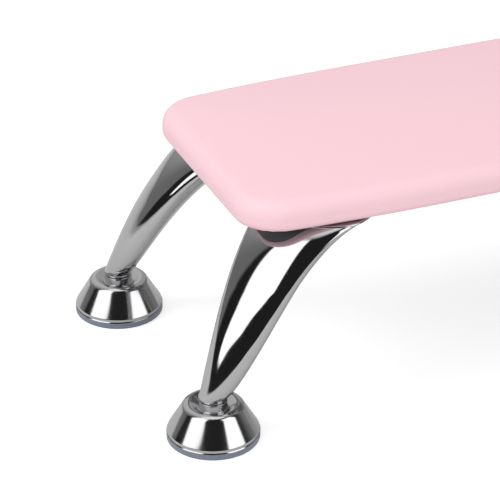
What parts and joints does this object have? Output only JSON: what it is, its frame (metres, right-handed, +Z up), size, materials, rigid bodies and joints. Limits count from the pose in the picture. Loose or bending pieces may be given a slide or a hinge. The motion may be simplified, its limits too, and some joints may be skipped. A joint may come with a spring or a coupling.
{
  "type": "manicure hand rest",
  "caption": "Padded hand rest for manicure work: a thin leather-covered board on splayed, polished horn-shaped legs that stand in conical screw feet with felt discs.",
  "frame": {"origin": "on the table, midway between the four feet, under the middle of the pad", "axes": "+X along the pad, +Y across it away from the viewer, +Z up"},
  "size_m": [0.4926, 0.195, 0.1305],
  "materials": {
    "pad_cover": "smooth pink synthetic leather, slightly satin",
    "pad_foam": "open-cell upholstery foam, cream",
    "pad_board": "plywood, raw",
    "underside_cloth": "black non-woven dust cloth",
    "cloth_staples": "galvanised wire",
    "horn": "cast metal, mirror polished and chromed",
    "stud": "zinc plated",
    "tee_nut": "zinc plated",
    "bolt": "zinc plated",
    "washer": "zinc plated",
    "foot": "turned metal, mirror polished and chromed",
    "felt": "pressed wool felt, blue-grey"
  },
  "bodies": {
    "rest": {"pad_cover": "pad_cover", "pad_foam": "pad_foam", "pad_board": "pad_board", "underside_cloth": "underside_cloth", "cloth_staples": "cloth_staples", "leg_front_left": "horn", "mount_stud_front_left": "stud", "tee_nut_front_left": "tee_nut", "leg_front_right": "horn", "mount_stud_front_right": "stud", "tee_nut_front_right": "tee_nut", "leg_rear_left": "horn", "mount_stud_rear_left": "stud", "tee_nut_rear_left": "tee_nut", "leg_rear_right": "horn", "mount_stud_rear_right": "stud", "tee_nut_rear_right": "tee_nut"},
    "screw_front_left": {"foot_bolt_front_left": "bolt", "foot_washer_front_left": "washer"},
    "foot_front_left": {"foot_cup_front_left": "foot", "foot_pad_front_left": "felt"},
    "screw_front_right": {"foot_bolt_front_right": "bolt", "foot_washer_front_right": "washer"},
    "foot_front_right": {"foot_cup_front_right": "foot", "foot_pad_front_right": "felt"},
    "screw_rear_left": {"foot_bolt_rear_left": "bolt", "foot_washer_rear_left": "washer"},
    "foot_rear_left": {"foot_cup_rear_left": "foot", "foot_pad_rear_left": "felt"},
    "screw_rear_right": {"foot_bolt_rear_right": "bolt", "foot_washer_rear_right": "washer"},
    "foot_rear_right": {"foot_cup_rear_right": "foot", "foot_pad_rear_right": "felt"}
  },
  "joints": [
    {"name": "screw_travel_front_left", "type": "slide", "parent": "rest", "child": "screw_front_left", "axis": [0, 0, -1], "range_m": [0, 0.003]},
    {"name": "foot_turn_front_left", "type": "hinge", "parent": "screw_front_left", "child": "foot_front_left", "pos_m": [-0.2213, -0.0725, 0.0125], "axis": [0, 0, -1], "range_deg": [0, 1080]},
    {"name": "screw_travel_front_right", "type": "slide", "parent": "rest", "child": "screw_front_right", "axis": [0, 0, -1], "range_m": [0, 0.003]},
    {"name": "foot_turn_front_right", "type": "hinge", "parent": "screw_front_right", "child": "foot_front_right", "pos_m": [0.2213, -0.0725, 0.0125], "axis": [0, 0, -1], "range_deg": [0, 1080]},
    {"name": "screw_travel_rear_left", "type": "slide", "parent": "rest", "child": "screw_rear_left", "axis": [0, 0, -1], "range_m": [0, 0.003]},
    {"name": "foot_turn_rear_left", "type": "hinge", "parent": "screw_rear_left", "child": "foot_rear_left", "pos_m": [-0.2213, 0.0725, 0.0125], "axis": [0, 0, -1], "range_deg": [0, 1080]},
    {"name": "screw_travel_rear_right", "type": "slide", "parent": "rest", "child": "screw_rear_right", "axis": [0, 0, -1], "range_m": [0, 0.003]},
    {"name": "foot_turn_rear_right", "type": "hinge", "parent": "screw_rear_right", "child": "foot_rear_right", "pos_m": [0.2213, 0.0725, 0.0125], "axis": [0, 0, -1], "range_deg": [0, 1080]}
  ],
  "couplings": [
    {"joint": "screw_travel_front_left", "follows": "foot_turn_front_left", "m_per_rad": 0.00015915},
    {"joint": "screw_travel_front_right", "follows": "foot_turn_front_right", "m_per_rad": 0.00015915},
    {"joint": "screw_travel_rear_left", "follows": "foot_turn_rear_left", "m_per_rad": 0.00015915},
    {"joint": "screw_travel_rear_right", "follows": "foot_turn_rear_right", "m_per_rad": 0.00015915}
  ]
}
